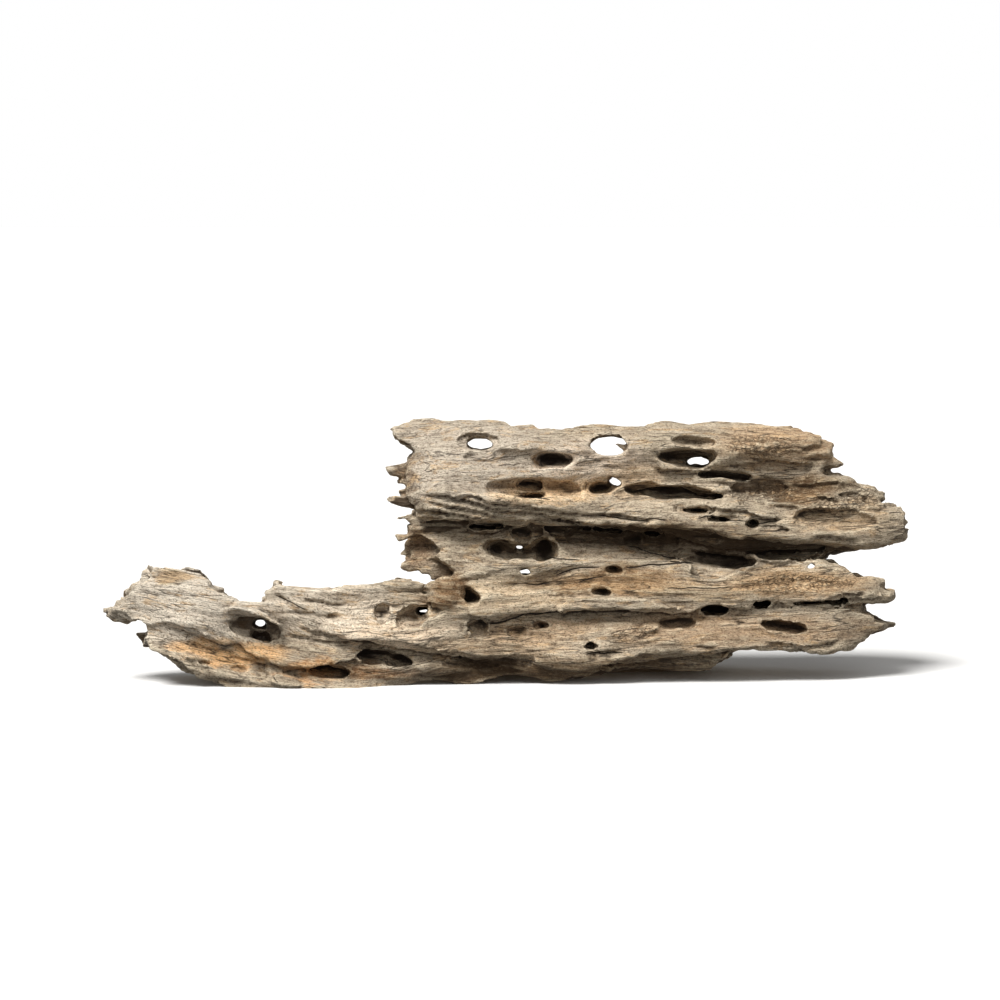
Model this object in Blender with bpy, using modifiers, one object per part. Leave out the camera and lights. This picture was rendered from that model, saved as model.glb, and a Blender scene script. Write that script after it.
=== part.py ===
"""Honeycomb wood: one weathered piece of driftwood, eaten hollow along its grain, lying on its side.

It forks once. The long limb lies on the ground and reaches out to the left as a low arm. The tall crown
stands over it. Places are in millimetres: x runs along the piece, y to its back, z up from the ground.
The finished meshes are in metres, with the origin on the ground under the middle of the piece.
"""
import math

import bmesh
import bpy
import numpy as np
from mathutils import Matrix, Vector, noise

MIDDLE_X = 5.5
MIDDLE_Y = 0.0
METRES = 0.001

GRAIN_STEP = 2.3
FACES = 9000
SPLIT_GAP = 0.3

# Wear, in millimetres: broad lumps, the ledges along the grain, and what is lost all over.
LUMP = 2.2
LEDGE = 5.5
LEDGE_HEIGHT = 15.0
WEAR = 1.0
SPLINTER_TIP = 1.3

# How the depth narrows towards the rim, the ground and the toothed end, and how the faces swell and sway.
RIM_START = 148.0
RIM_HEIGHT = 22.0
RIM_TAPER = 0.4
FOOT_HEIGHT = 14.0
FOOT_TAPER = 0.06
TOOTH_END = -34.0
TOOTH_LENGTH = 34.0
TOOTH_TAPER = 0.4
SWELL = 0.16
SWAY = 6.0

# The run of the grain along the piece: how far it rises at each place.
GRAIN_X = (-260, -180, -100, 0, 120, 260)
GRAIN_Z = (26, 10, 0, 2, 4, 10)

# The fork: the crown meets the limb along a slanting line between its two crotches.
LEFT_CROTCH = (-44.0, 62.0)
RIGHT_CROTCH = (206.0, 78.0)
NOTCH = (-62.0, 71.0)
ARM_END = -95.0

# Layers fan out and dip towards the back, by so much for each millimetre of depth.
FAN = 1 / 2345
DIP_HEIGHT = 305.0
FRONT_PLANE = -35.0
FORK_DIP = 0.1
PARTING_REACH = 400.0

# The middle of the piece, seen from above, and how its depth narrows towards the ends.
SPINE_X = (-260, -200, -100, 0, 130, 260)
SPINE_Y = (-30, -30, -20, -8, 4, 12)
DEPTH_X = (-256, -240, -200, -120, 0, 140, 215, 262)
DEPTH_SHARE = (0.35, 0.55, 0.8, 1.0, 1.0, 1.0, 0.85, 0.5)

# Boards of the limb: front and back from the middle line, then the outline seen from the front.
LIMB_BOARDS = [
    (-42, 30, [(-251, 43), (-250, 49), (-241, 52), (-239, 60), (-228, 68), (-223, 76), (-211, 75.5),
               (-194, 69), (-180, 59), (-167, 51), (-150, 51), (-120, 50), (-95, 40), (-88, 18),
               (-98, 16), (-124, 13), (-144, 15.5), (-158, 21), (-167, 27), (-178, 26.5), (-195, 33),
               (-212, 37), (-232, 37)]),
    (-34, 34, [(-232, 37), (-228, 25), (-216, 22), (-195, 16), (-181, 10), (-170, 2), (-78, -4),
               (-52, 2), (-44, 30), (-95, 40), (-160, 34), (-212, 40)]),
    (-46, 48, [(-230, 23), (-226, 28), (-216, 25.5), (-196, 19), (-181, 12.5), (-165, 7.5), (-150, 6),
               (-130, 3), (-100, 3), (-73, -0.5), (-80, -4), (-172, -4), (-186, 4), (-202, 11)]),
    (-30, 40, [(-152, 53), (-149, 60), (-144, 65), (-134, 62), (-110, 59.5), (-78, 63), (-62, 67), (-52, 62),
               (-44, 58), (-20, 56), (-10, 30), (-40, 6), (-150, 6)]),
    (-38, 56, [(-60, 8), (-45, 1), (-20, -2), (5, 3), (22, 2), (32, -3), (44, 2), (75, 7), (110, 6.5),
               (129, 8), (142, 12), (150, 18), (140, 28), (60, 30), (-60, 24)]),
    (24, 52, [(46, -4), (124, -4), (134, 5), (130, 18), (44, 18)]),
    (-47, 46, [(-136, 32), (-100, 27.5), (-67, 26), (-44, 21), (-22, 17.5), (10, 16), (41, 9), (60, 9.5),
               (75, 12), (93, 16.5), (136, 17.5), (150, 20), (182, 23.5), (205, 19), (225, 22.5),
               (247, 37.5), (238, 42), (230, 47), (200, 48), (120, 44), (40, 45), (-20, 47), (-40, 45),
               (-54, 39), (-66, 36), (-100, 42), (-132, 38)]),
    (-52, 44, [(-38, 50), (-22, 43.5), (-9, 40), (12, 43.5), (40, 45.5), (75, 46), (122, 43), (134, 49),
               (158, 49), (170, 52.5), (200, 52), (236, 54), (252, 53), (250, 57), (238, 58), (200, 60),
               (120, 62), (40, 60), (-30, 58)]),
    (-46, 40, [(-34, 54), (-38, 66), (-20, 74), (40, 80), (140, 82), (203, 78), (216, 72), (228, 65),
               (243, 62.5), (236, 56), (120, 54), (0, 50)]),
    (-36, 42, [(-30, 40), (100, 40), (228, 44), (234, 50), (228, 58), (-30, 56)]),
]

# Boards of the crown, from the neck up to the rim.
CROWN_BOARDS = [
    (-34, 36, [(-34, 66), (-46, 74), (-58, 80), (-57, 92), (-58, 97), (-54, 104), (20, 104), (44, 84),
               (60, 72), (0, 60), (-26, 60)]),
    (-10, 38, [(10, 90), (10, 104), (120, 104), (232, 98), (228, 86), (210, 84), (140, 80)]),
    (-19, 40, [(-20, 60), (30, 98), (112, 94), (140, 90), (226, 90), (226, 86), (209, 84), (204, 78),
               (60, 62)]),
    (-28, 40, [(-20, 60), (26, 92), (60, 90), (104, 86), (116, 70), (60, 62)]),
    (-34, 30, [(120, 100), (145, 92), (190, 88), (196, 94), (196, 104), (140, 106)]),
    (-46, 44, [(-54, 114), (-62, 119), (-40, 124), (60, 118), (150, 116), (206, 120), (246, 112.5),
               (256, 108), (258.5, 93), (248, 89.5), (232, 87), (190, 90), (150, 93), (107, 98),
               (75, 101), (20, 101), (-17, 102), (-56, 104)]),
    (-38, 42, [(-61, 119), (-60, 140), (-20, 140), (60, 136), (150, 136), (204, 135), (206, 131),
               (224, 126), (238, 124), (246, 113), (150, 112), (60, 114), (-40, 116)]),
    (-37, 36, [(-62, 132), (-60, 142), (-54, 149), (0, 154), (180, 156), (203, 154), (210, 147),
               (209, 141), (204, 134), (60, 128), (-40, 126)]),
    (-38, 30, [(-56, 150), (-67, 156), (-69, 161.5), (-57, 166), (-42, 167), (-20, 166), (0, 163),
               (40, 161), (62, 163), (85, 162.5), (103, 164.5), (134, 166.5), (160, 165), (184, 162.5),
               (200, 156), (200, 148), (120, 148), (0, 146)]),
]

# Splinters: root x and z, tip x and z, depth from the middle line, root radius.
SPLINTERS = [
    (-236, 44, -254, 46, -8, 6), (-232, 60, -243, 52, 0, 6), (-212, 68, -225, 77, -6, 7),
    (-224, 27, -234, 32, 0, 6), (-232, 50, -244, 56, -4, 5), (-56, 160, -71, 161.5, -8, 6),
    (190, 136, 222, 138, -12, 4.5), (190, 145, 216, 143.5, 0, 5), (188, 152, 212, 149, -8, 5),
    (222, 65, 251, 64, -22, 5), (228, 55, 257, 54, -14, 7), (226, 38, 252, 37.4, -22, 5.5),
    (200, 80, 214, 75, -14, 5), (238, 92, 262, 94, -16, 7),
]

# Flakes: thin torn layers at the crown's left end, given as the boards are.
FLAKES = [
    (-12, 4, [(-40, 145), (-58, 142.5), (-61, 139.5), (-66.5, 138.2), (-74, 137), (-69, 132.5),
              (-62.5, 132), (-61, 130.3), (-67, 128.6), (-62, 126.5), (-60, 124.5), (-66, 123),
              (-62, 119.8), (-40, 118)]),
    (-22, -10, [(-40, 122), (-58, 119.5), (-64, 118.3), (-74, 116.2), (-62, 114.6), (-52, 114), (-40, 112)]),
    (-34, -20, [(-36, 114), (-55, 112), (-58.5, 108), (-67, 104.8), (-57, 103.2), (-36, 101)]),
    (-30, -18, [(-36, 101), (-55, 99.5), (-60, 96.3), (-68.5, 95.3), (-65, 90.5), (-60, 91.5), (-48, 94)]),
    (-12, 2, [(-36, 98), (-58, 93), (-61.5, 87), (-60, 84), (-66, 81.3), (-58, 80), (-36, 78)]),
    (-24, -12, [(-34, 84), (-52, 82), (-64, 75), (-58.5, 71), (-50.5, 73.2), (-51, 70), (-45, 70),
                (-44.5, 65.5), (-40.5, 67.5), (-34, 64), (-24, 74)]),
]

# Windows: through holes, with the centre, half length, half height and slant in degrees.
WINDOWS = [
    (-13.3, 152.3, 8.5, 3.6, 0), (69, 150.8, 11, 5.3, 0), (126, 141, 7, 2.8, 0), (73, 128.5, 5, 2.8, -40),
    (-152.5, 38.2, 4.6, 3, -10), (-49.6, 46.3, 4.4, 2.2, 15), (14.6, 71.7, 4.4, 2.4, 0),
    (198, 74, 2.8, 2.1, 0),
]

# Hollows in the front: the same, with the depth reached.
HOLLOWS = [
    (-14, 153.5, 14, 5.8, 12, 0), (33.5, 143, 15, 5.2, 24, 0), (-2, 143, 24, 6, 6, -2),
    (119, 146.5, 19, 7, 26, 0), (143, 132.5, 18, 3.2, 18, -4), (18, 125.5, 9, 3, 16, 0),
    (62, 124, 8, 5.5, 22, 0), (110, 122, 32, 4, 24, -4), (123.5, 109.5, 10, 2.8, 14, 0),
    (139, 104.5, 13, 1.8, 12, 0), (160.5, 101.5, 4, 3.5, 14, 0), (179, 135.5, 11, 4.5, 12, 0),
    (14, 94.5, 6.5, 4.2, 14, 0), (-2, 86, 9, 5, 24, -8), (28, 85, 9, 8, 26, 0), (12, 84, 14, 5, 22, 0),
    (139, 79.5, 27, 7, 34, -4), (178, 80, 28, 2.6, 22, 3), (166, 86, 24, 2, 20, 0),
    (-50, 89, 10, 7, 22, 0), (72.5, 72.5, 7, 3.2, 20, 0), (66, 59, 6.5, 3.2, 14, 0),
    (-157.5, 35, 17.2, 6.4, 18, -9), (-111, 9.5, 14, 3.4, 22, -2), (-74, 17, 16, 4.6, 20, 4),
    (-76, 45, 5.5, 6, 12, 0), (-55, 44, 11, 7.5, 14, 0), (-14, 36, 6.5, 4.8, 12, 0),
    (10, 33, 7.5, 3.2, 12, 0), (26, 38, 5, 2.8, 16, -35), (113, 38, 14, 4.6, 12, 0),
    (134, 45, 13, 4.2, 20, 0), (167, 48.5, 10, 3.4, 18, 0), (181, 35, 16, 3, 22, -7),
    (200, 50.5, 24, 1.8, 14, 3), (56, 25, 4, 2.4, 12, 0), (157, 19, 9, 2.6, 16, 0),
    (-21, 55, 8, 5, 20, 0), (-232, 34, 6, 7, 60, 0),
]

# Hollows in the back, which the front doesn't show.
BACK_HOLLOWS = [
    (-20, 130, 20, 6, 22, 4), (60, 112, 26, 6, 24, -3), (130, 128, 20, 8, 22, 4), (190, 106, 16, 4, 18, 0),
    (20, 84, 22, 7, 26, 0), (110, 80, 26, 6, 24, 4), (60, 50, 16, 6, 22, 0), (-20, 40, 14, 5, 18, -6),
    (140, 40, 24, 6, 24, 2), (200, 56, 12, 4, 16, 0), (-120, 38, 14, 6, 22, 8), (-190, 48, 14, 6, 16, 20),
]


def clear_scene():
    for item in list(bpy.data.objects):
        bpy.data.objects.remove(item, do_unlink=True)


def smooth_step(values):
    held = np.clip(values, 0.0, 1.0)
    return held * held * (3.0 - 2.0 * held)


def add_board(shape, front, back, outline):
    """One layer of wood: its outline seen from the front, drawn back to its full depth."""
    corners = [shape.verts.new((x, front, z)) for x, z in outline]
    face = shape.faces.new(corners)
    grown = bmesh.ops.extrude_face_region(shape, geom=[face])["geom"]
    far = [item for item in grown if isinstance(item, bmesh.types.BMVert)]
    bmesh.ops.translate(shape, verts=far, vec=(0.0, back - front, 0.0))


def add_splinter(shape, root_x, root_z, tip_x, tip_z, depth, radius):
    """A tapering splinter from its root to its tip."""
    root = Vector((root_x, depth, root_z))
    tip = Vector((tip_x, depth, tip_z))
    along = tip - root
    turn = along.to_track_quat("Z", "Y").to_matrix().to_4x4()
    place = Matrix.Translation((root + tip) / 2) @ turn
    bmesh.ops.create_cone(shape, cap_ends=True, segments=10, radius1=radius, radius2=SPLINTER_TIP,
                          depth=along.length, matrix=place)


def add_hollow(shape, x, z, half_long, half_high, reach, slant, face_y):
    """An egg-shaped pocket that sinks into the face at face_y."""
    turn = Matrix.Rotation(math.radians(-slant), 4, "Y")
    size = Matrix.Diagonal((half_long, abs(reach), half_high, 1.0))
    place = Matrix.Translation((x, face_y, z)) @ turn @ size
    bmesh.ops.create_uvsphere(shape, u_segments=16, v_segments=10, radius=1.0, matrix=place)


def add_window(shape, x, z, half_long, half_high, slant):
    """A hole right through the piece."""
    turn = Matrix.Rotation(math.radians(-slant), 4, "Y")
    size = Matrix.Diagonal((half_long, 1.0, half_high, 1.0))
    lay = Matrix.Rotation(math.pi / 2, 4, "X")
    place = Matrix.Translation((x, 0.0, z)) @ turn @ size @ lay
    bmesh.ops.create_cone(shape, cap_ends=True, segments=18, radius1=1.0, radius2=1.0, depth=240.0,
                          matrix=place)


def new_object(name, shape):
    mesh = bpy.data.meshes.new(name)
    shape.to_mesh(mesh)
    shape.free()
    item = bpy.data.objects.new(name, mesh)
    bpy.context.scene.collection.objects.link(item)
    return item


def settle(item):
    """Applies the object's modifiers."""
    graph = bpy.context.evaluated_depsgraph_get()
    mesh = bpy.data.meshes.new_from_object(item.evaluated_get(graph))
    item.modifiers.clear()
    item.data = mesh
    return item


def fuse(item, step, rounds):
    """Melts overlapping shapes into one skin of small even faces."""
    grain = item.modifiers.new("Grain", "REMESH")
    grain.mode = "VOXEL"
    grain.voxel_size = step
    if rounds:
        worn = item.modifiers.new("Worn", "SMOOTH")
        worn.factor = 0.5
        worn.iterations = rounds
    return settle(item)


def join(item, other, operation):
    cut = item.modifiers.new(operation.title(), "BOOLEAN")
    cut.operation = operation
    cut.object = other
    settle(item)
    bpy.data.objects.remove(other, do_unlink=True)
    return item


def solid_wood():
    shape = bmesh.new()
    for front, back, outline in LIMB_BOARDS + CROWN_BOARDS:
        add_board(shape, front, back, outline)
    bmesh.ops.recalc_face_normals(shape, faces=shape.faces[:])
    return fuse(new_object("wood", shape), GRAIN_STEP, 4)


def add_splinters(item):
    shape = bmesh.new()
    shape.from_mesh(item.data)
    for splinter in SPLINTERS:
        add_splinter(shape, *splinter)
    for flake in FLAKES:
        add_board(shape, *flake)
    bmesh.ops.recalc_face_normals(shape, faces=shape.faces[:])
    shape.to_mesh(item.data)
    shape.free()


def hollow_space():
    shape = bmesh.new()
    for x, z, half_long, half_high, reach, slant in HOLLOWS:
        add_hollow(shape, x, z, half_long, half_high, reach, slant, face_at(x, z, -1))
    for x, z, half_long, half_high, reach, slant in BACK_HOLLOWS:
        add_hollow(shape, x, z, half_long, half_high, reach, slant, face_at(x, z, 1))
    for window in WINDOWS:
        add_window(shape, *window)
    bmesh.ops.recalc_face_normals(shape, faces=shape.faces[:])
    return fuse(new_object("hollows", shape), GRAIN_STEP / 2, 0)


def face_at(x, z, side):
    """How far the boards reach in front (side -1) or behind (side 1) at a place."""
    reach = 0.0
    for front, back, outline in LIMB_BOARDS + CROWN_BOARDS:
        if inside(x, z, outline):
            edge = front if side < 0 else back
            reach = edge if edge * side > reach * side else reach
    return reach


def inside(x, z, outline):
    crossed = False
    for (x1, z1), (x2, z2) in zip(outline, outline[1:] + outline[:1]):
        if (z1 > z) != (z2 > z) and x < x1 + (z - z1) * (x2 - x1) / (z2 - z1):
            crossed = not crossed
    return crossed


def points_of(mesh):
    flat = np.empty(len(mesh.vertices) * 3, np.float32)
    mesh.vertices.foreach_get("co", flat)
    return flat.reshape(-1, 3).astype(np.float64)


def normals_of(mesh):
    flat = np.empty(len(mesh.vertices) * 3, np.float32)
    mesh.vertex_normals.foreach_get("vector", flat)
    return flat.reshape(-1, 3).astype(np.float64)


def put_points(mesh, points):
    mesh.vertices.foreach_set("co", points.astype(np.float32).ravel())
    mesh.update()


def wave(points, long, deep, high, seed):
    """Smooth noise from -1 to 1, drawn out along the grain."""
    places = points / (long, deep, high) + seed * 17.3
    return np.array([noise.noise(Vector(place)) for place in places]) * 1.6


def weather(item):
    """Wears the piece: broad lumps, then ledges that swell downwards and break off in an undercut."""
    mesh = item.data
    points = points_of(mesh)
    normals = normals_of(mesh)
    across = points[:, 2] - np.interp(points[:, 0], GRAIN_X, GRAIN_Z)
    bend = wave(points, 80, 60, 40, 1)
    lumps = wave(points, 60, 40, 22, 2)
    strength = np.clip(wave(points, 60, 50, 26, 3) + 0.55, 0.0, 1.2)
    layer = across / LEDGE_HEIGHT + 1.1 * bend
    ledge = 1.0 - (layer - np.floor(layer))
    push = LUMP * lumps + LEDGE * strength * (ledge - 0.5) - WEAR
    points += normals * push[:, None]
    put_points(mesh, points)


def depth_share(x, z):
    """How much of their depth the boards keep: less towards the ends, the rim and the ground."""
    rim = 1.0 - RIM_TAPER * smooth_step((z - RIM_START) / RIM_HEIGHT)
    foot = 1.0 - FOOT_TAPER * smooth_step(1.0 - z / FOOT_HEIGHT)
    tooth_end = smooth_step((TOOTH_END - x) / TOOTH_LENGTH) * smooth_step((z - LEFT_CROTCH[1]) / 8.0)
    return np.interp(x, DEPTH_X, DEPTH_SHARE) * rim * foot * (1.0 - TOOTH_TAPER * tooth_end)


def lean(item):
    """Bends the boards to the plan of the piece, then lets the layers fan and dip towards the back."""
    mesh = item.data
    points = points_of(mesh)
    x, y, z = points.T
    both = wave(points * (1, 0, 1), 110, 1, 50, 5)
    each = wave(points, 80, 60, 34, 6)
    swollen = y * (1.0 + SWELL * each) + SWAY * both
    depth = swollen * depth_share(x, z) + np.interp(x, SPINE_X, SPINE_Y)
    back = (depth - FRONT_PLANE) * FAN
    held = smooth_step(z / 50.0)
    points = np.stack([x * (1 + back), depth, z - held * (DIP_HEIGHT - z) * back], axis=1)
    put_points(mesh, points)


def thin_out(item, faces):
    fewer = item.modifiers.new("Fewer faces", "DECIMATE")
    fewer.ratio = faces / sum(len(face.vertices) - 2 for face in item.data.polygons)
    return settle(item)


def drop_crumbs(item):
    """Keeps the largest body, without sealed bubbles and crumbs that are loose or only touch it."""
    shape = bmesh.new()
    shape.from_mesh(item.data)
    bmesh.ops.triangulate(shape, faces=shape.faces[:])
    left = set(shape.faces)
    bodies = []
    while left:
        reached = [left.pop()]
        body = set(reached)
        while reached:
            face = reached.pop()
            shared = [edge.link_faces for edge in face.edges if len(edge.link_faces) == 2]
            near = {other for pair in shared for other in pair} & left
            left -= near
            body |= near
            reached.extend(near)
        bodies.append(body)
    bodies.sort(key=len)
    crumbs = [face for body in bodies[:-1] for face in body]
    bmesh.ops.delete(shape, geom=crumbs, context="FACES")
    shape.to_mesh(item.data)
    shape.free()
    return item


def parting_block(name, outline):
    """A deep block with the given outline; its edge along the fork dips to the back with the layers."""
    shape = bmesh.new()
    add_board(shape, -200.0, 200.0, outline)
    for vert in shape.verts:
        if 0.0 < vert.co.z < PARTING_REACH / 2:
            vert.co.z -= FORK_DIP * (vert.co.y - FRONT_PLANE)
    bmesh.ops.recalc_face_normals(shape, faces=shape.faces[:])
    return new_object(name, shape)


def fork_edge(gap):
    """The parting line from left to right, raised by the gap: over the arm, then through both crotches."""
    slope = (RIGHT_CROTCH[1] - LEFT_CROTCH[1]) / (RIGHT_CROTCH[0] - LEFT_CROTCH[0])
    far_right = (PARTING_REACH, LEFT_CROTCH[1] + slope * (PARTING_REACH - LEFT_CROTCH[0]))
    line = [(ARM_END, PARTING_REACH), (ARM_END, NOTCH[1]), NOTCH, LEFT_CROTCH, far_right]
    return [(x - gap, z + gap) for x, z in line]


def whole_piece():
    wood = solid_wood()
    join(wood, hollow_space(), "DIFFERENCE")
    weather(wood)
    add_splinters(wood)
    lean(wood)
    fuse(wood, GRAIN_STEP, 1)
    drop_crumbs(wood)
    return thin_out(wood, FACES)


def part_off(wood, name, block):
    """The share of the wood inside the block, as its own named piece."""
    piece = bpy.data.objects.new(name, wood.data.copy())
    bpy.context.scene.collection.objects.link(piece)
    join(piece, block, "INTERSECT")
    drop_crumbs(piece)
    return piece


def wood_finish(name, colour, roughness):
    finish = bpy.data.materials.new(name)
    finish.use_nodes = True
    shader = finish.node_tree.nodes["Principled BSDF"]
    shader.inputs["Base Color"].default_value = (*colour, 1.0)
    shader.inputs["Roughness"].default_value = roughness
    shader.inputs["Metallic"].default_value = 0.0
    return finish


def hand_over(piece, finish, group):
    """Centres the piece's frame, scales it to metres and gives it its finish and collection."""
    shift = Matrix.Translation((-MIDDLE_X, -MIDDLE_Y, 0.0))
    piece.data.transform(Matrix.Scale(METRES, 4) @ shift)
    piece.data.materials.clear()
    piece.data.materials.append(finish)
    piece.data.shade_smooth()
    piece.data.set_sharp_from_angle(angle=math.radians(35))
    bpy.context.scene.collection.objects.unlink(piece)
    group.objects.link(piece)


def main():
    clear_scene()
    wood = whole_piece()
    ground = [(PARTING_REACH, 0.0), (-PARTING_REACH, 0.0), (-PARTING_REACH, PARTING_REACH)]
    sky = [(PARTING_REACH, PARTING_REACH)]
    under = parting_block("under_fork", fork_edge(-SPLIT_GAP / 2) + ground)
    over = parting_block("over_fork", fork_edge(SPLIT_GAP / 2) + sky)
    limb = part_off(wood, "long_limb", under)
    crown = part_off(wood, "tall_crown", over)
    bpy.data.objects.remove(wood, do_unlink=True)
    group = bpy.data.collections.new("honeycomb_wood")
    bpy.context.scene.collection.children.link(group)
    hand_over(limb, wood_finish("limb_wood", (0.40, 0.31, 0.22), 0.85), group)
    hand_over(crown, wood_finish("crown_wood", (0.33, 0.26, 0.19), 0.85), group)


if __name__ == "__main__":
    main()
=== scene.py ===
"""Honeycomb wood: the worn, layered and hollowed surface of one piece of driftwood, with its bare finish.

Places are in millimetres, as seen in the wood's front plane: x along the piece, y to its back, z up.
The wood is laid up from boards, hollowed, carved and weathered, then bent to its plan, parted at its fork
and fitted to the frame.
"""
import math

import bmesh
import bpy
import numpy as np
from mathutils import Matrix, Vector, kdtree, noise


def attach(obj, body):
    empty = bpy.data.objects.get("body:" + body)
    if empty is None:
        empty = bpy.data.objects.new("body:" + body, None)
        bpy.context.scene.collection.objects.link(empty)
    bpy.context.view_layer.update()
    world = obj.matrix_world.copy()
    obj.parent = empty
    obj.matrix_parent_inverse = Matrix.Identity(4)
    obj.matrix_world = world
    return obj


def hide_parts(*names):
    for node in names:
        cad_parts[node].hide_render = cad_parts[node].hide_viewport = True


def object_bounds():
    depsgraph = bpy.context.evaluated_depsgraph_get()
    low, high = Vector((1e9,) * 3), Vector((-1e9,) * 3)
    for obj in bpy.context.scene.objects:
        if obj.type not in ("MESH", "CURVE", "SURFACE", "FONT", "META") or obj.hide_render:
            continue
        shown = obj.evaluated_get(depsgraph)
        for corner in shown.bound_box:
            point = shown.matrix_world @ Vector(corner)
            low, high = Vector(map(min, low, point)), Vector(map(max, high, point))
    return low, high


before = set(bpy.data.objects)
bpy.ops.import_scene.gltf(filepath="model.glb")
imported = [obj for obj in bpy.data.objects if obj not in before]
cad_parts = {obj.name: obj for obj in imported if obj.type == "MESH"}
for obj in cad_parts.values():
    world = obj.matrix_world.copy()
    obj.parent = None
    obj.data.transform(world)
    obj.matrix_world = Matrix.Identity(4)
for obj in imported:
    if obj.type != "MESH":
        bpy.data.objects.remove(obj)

frame_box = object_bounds()

# The fit and the studio, in metres and degrees.
FIT_GAP = 0.0001
CREASE_ANGLE = 70.0
FLOOR_RADIUS = 40.0
FLOOR_COLOUR = (0.80, 0.79, 0.77, 1.0)
SURROUND_STRENGTH = 0.25
BACKDROP_STRENGTH = 1.0
CAMERA_PLACE = (-0.0055, -2.378, 0.305)
CAMERA_TILT = 85.41
CAMERA_SENSOR = 36.0
CAMERA_LENS = 134.06

# The studio's lights: spread, strength, and lean to the front and to the right.
KEY_LIGHT = (24.0, 5.1, 31.0, -22.0)
FILL_LIGHT = (70.0, 1.0, 68.0, 14.0)

# What is stored at each point of the wood for its finish, and how far around it is measured. From the ridge,
# lump, hollow and shelter notes the finish paints highlight and shade.
NOTES = ("place", "grain", "crack", "ridge", "lump", "hollow", "shelter")
RIDGE_ROUNDS = 6
LUMP_ROUNDS = 60
HOLLOW_ROUNDS = 400
SHELTER_STEP = 3.0
SHELTER_REACH = 10

# How wide the skin's faces are, for the boards and for the wear, and how many are kept.
BOARD_STEP = 2.2
FINE_STEP = 1.05
FACES = 370000

# Layers fan out and dip towards the back, by so much for each millimetre of depth.
FAN = 1 / 2345
DIP_HEIGHT = 305.0
FRONT_PLANE = -35.0
FORK_DIP = 0.1
PARTING_REACH = 400.0

# The fork: the crown meets the limb along a slanting line between its two crotches.
LEFT_CROTCH = (-44.0, 62.0)
RIGHT_CROTCH = (206.0, 78.0)
NOTCH = (-62.0, 71.0)
ARM_END = -95.0

# Wear, in millimetres; SHARPNESS is a share. A height is the step between two ledges or leaves.
LUMP = 2.2
LEDGE = 5.5
LEDGE_HEIGHT = 15.0
LEAF = 1.1
LEAF_HEIGHT = 6.0
FINE_LEAF = 0.7
FINE_LEAF_HEIGHT = 2.8
FURROW = 1.3
FINE_FURROW = 0.5
FIBRE = 0.28
CRUMB = 0.8
WEAR = 1.0
SHARPNESS = 1.1
SHARP_LIMIT = 1.2
SPLINTER_TIP = 1.3

# Edges and cracks in the front: lip, overhang and gouge, and how far from its ends each fades.
LIP = 1.2
LIP_SHARE = 0.55
OVERHANG = 1.2
OVERHANG_REACH = 1.5
FULL_OVERHANG = 4.0
GOUGE_DEPTH = 1.5
EDGE_FADE = 8.0
CRACK_FADE = 5.0
CRACK_SHARE = 0.25
CRACK_LINE_FADE = 6.0
CRACK_LINE_REACH = 9.0

# How sharply a pan's upper side drops, and how much more gently its lower side runs out.
PAN_DROP = 0.22
PAN_SLOPE = 0.9

# A window flares to the back; hollows are bent along and upwards, so that none is a plain egg.
WINDOW_FLARE = (1.35, 0.9)
WINDOW_DEPTH = 150.0
HOLLOW_BEND = (1.3, 0.8)

# How the depth narrows towards the rim, the ground and the toothed end, and how the faces swell and sway.
RIM_START = 148.0
RIM_HEIGHT = 22.0
RIM_TAPER = 0.4
FOOT_HEIGHT = 14.0
FOOT_TAPER = 0.06
TOOTH_END = -34.0
TOOTH_LENGTH = 34.0
TOOTH_TAPER = 0.4
SWELL = 0.16
SWAY = 6.0

# The run of the grain along the piece: how far it rises at each place.
GRAIN_X = (-260, -180, -100, 0, 120, 260)
GRAIN_Z = (26, 10, 0, 2, 4, 10)

# The middle of the piece, seen from above, and how its depth narrows towards the ends.
SPINE_X = (-260, -200, -100, 0, 130, 260)
SPINE_Y = (-30, -30, -20, -8, 4, 12)
DEPTH_X = (-256, -240, -200, -120, 0, 140, 215, 262)
DEPTH_SHARE = (0.35, 0.55, 0.8, 1.0, 1.0, 1.0, 0.85, 0.5)

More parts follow.
